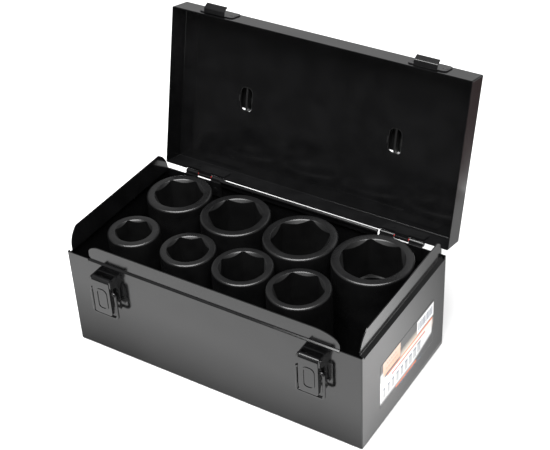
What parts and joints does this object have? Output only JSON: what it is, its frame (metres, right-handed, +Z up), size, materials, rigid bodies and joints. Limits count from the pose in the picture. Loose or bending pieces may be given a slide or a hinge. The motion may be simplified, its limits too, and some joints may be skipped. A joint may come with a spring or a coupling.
{
  "type": "socket wrench set in case",
  "caption": "Hinged sheet-metal case with latches and a carrying handle, holding two rows of deep impact sockets that lift out.",
  "frame": {"origin": "centre of the case's underside, which stands on the ground plane at z = 0", "axes": "+X to the right along the case's front, +Y to the rear and the hinges, +Z up"},
  "size_m": [0.2442, 0.1814, 0.2152],
  "materials": {
    "enamel": "gloss black enamel",
    "plated_black": "gloss black enamel on formed sheet",
    "phosphate": "matt black phosphate",
    "primer": "dull red primer",
    "label": "printed film",
    "moulded": "black moulded plastic"
  },
  "bodies": {
    "case": {"case_body": "enamel", "hinge_leaf_case_left": "plated_black", "hinge_leaf_case_right": "plated_black", "hinge_pin_left": "primer", "hinge_pin_right": "primer", "hinge_rivets_case": "plated_black", "latch_base_left": "plated_black", "latch_base_right": "plated_black", "latch_base_rivets": "plated_black", "latch_pin_left": "plated_black", "latch_pin_right": "plated_black", "label_sheet": "label"},
    "lid": {"lid_shell": "enamel", "hinge_leaf_lid_left": "plated_black", "hinge_leaf_lid_right": "plated_black", "hinge_rivets_lid": "plated_black", "catch_left": "plated_black", "catch_right": "plated_black", "catch_rivets": "plated_black", "handle_bracket_left": "moulded", "handle_bracket_right": "moulded"},
    "latch_lever_left": {"latch_lever_left": "plated_black"},
    "latch_lever_right": {"latch_lever_right": "plated_black"},
    "latch_bail_left": {"latch_bail_left": "plated_black"},
    "latch_bail_right": {"latch_bail_right": "plated_black"},
    "handle": {"handle_wire": "plated_black", "handle_grip": "moulded"},
    "socket_24": {"socket_24": "phosphate"},
    "socket_27": {"socket_27": "phosphate"},
    "socket_30": {"socket_30": "phosphate"},
    "socket_32": {"socket_32": "phosphate"},
    "socket_33": {"socket_33": "phosphate"},
    "socket_36": {"socket_36": "phosphate"},
    "socket_38": {"socket_38": "phosphate"},
    "socket_41": {"socket_41": "phosphate"}
  },
  "joints": [
    {"name": "lid_hinge", "type": "hinge", "parent": "case", "child": "lid", "pos_m": [0, 0.0645, 0.0842], "axis": [-1, 0, 0], "range_deg": [-102.8, 0]},
    {"name": "latch_lever_left_hinge", "type": "hinge", "parent": "case", "child": "latch_lever_left", "pos_m": [-0.086, -0.0692, 0.0736], "axis": [-1, 0, 0], "range_deg": [0, 135]},
    {"name": "latch_bail_left_hinge", "type": "hinge", "parent": "latch_lever_left", "child": "latch_bail_left", "pos_m": [-0.086, -0.0694, 0.0645], "axis": [1, 0, 0], "range_deg": [-190, 12]},
    {"name": "latch_lever_right_hinge", "type": "hinge", "parent": "case", "child": "latch_lever_right", "pos_m": [0.086, -0.0692, 0.0736], "axis": [-1, 0, 0], "range_deg": [0, 135]},
    {"name": "latch_bail_right_hinge", "type": "hinge", "parent": "latch_lever_right", "child": "latch_bail_right", "pos_m": [0.086, -0.0694, 0.0645], "axis": [1, 0, 0], "range_deg": [-190, 12]},
    {"name": "handle_hinge", "type": "hinge", "parent": "lid", "child": "handle", "pos_m": [0, 0.1012, 0.14867], "axis": [1, 0, 0], "range_deg": [-8, 160]},
    {"name": "socket_24_lift", "type": "slide", "parent": "case", "child": "socket_24", "axis": [0, 0, 1], "range_m": [0, 0.11]},
    {"name": "socket_27_lift", "type": "slide", "parent": "case", "child": "socket_27", "axis": [0, 0, 1], "range_m": [0, 0.11]},
    {"name": "socket_30_lift", "type": "slide", "parent": "case", "child": "socket_30", "axis": [0, 0, 1], "range_m": [0, 0.11]},
    {"name": "socket_32_lift", "type": "slide", "parent": "case", "child": "socket_32", "axis": [0, 0, 1], "range_m": [0, 0.11]},
    {"name": "socket_33_lift", "type": "slide", "parent": "case", "child": "socket_33", "axis": [0, 0, 1], "range_m": [0, 0.11]},
    {"name": "socket_36_lift", "type": "slide", "parent": "case", "child": "socket_36", "axis": [0, 0, 1], "range_m": [0, 0.11]},
    {"name": "socket_38_lift", "type": "slide", "parent": "case", "child": "socket_38", "axis": [0, 0, 1], "range_m": [0, 0.11]},
    {"name": "socket_41_lift", "type": "slide", "parent": "case", "child": "socket_41", "axis": [0, 0, 1], "range_m": [0, 0.11]}
  ]
}
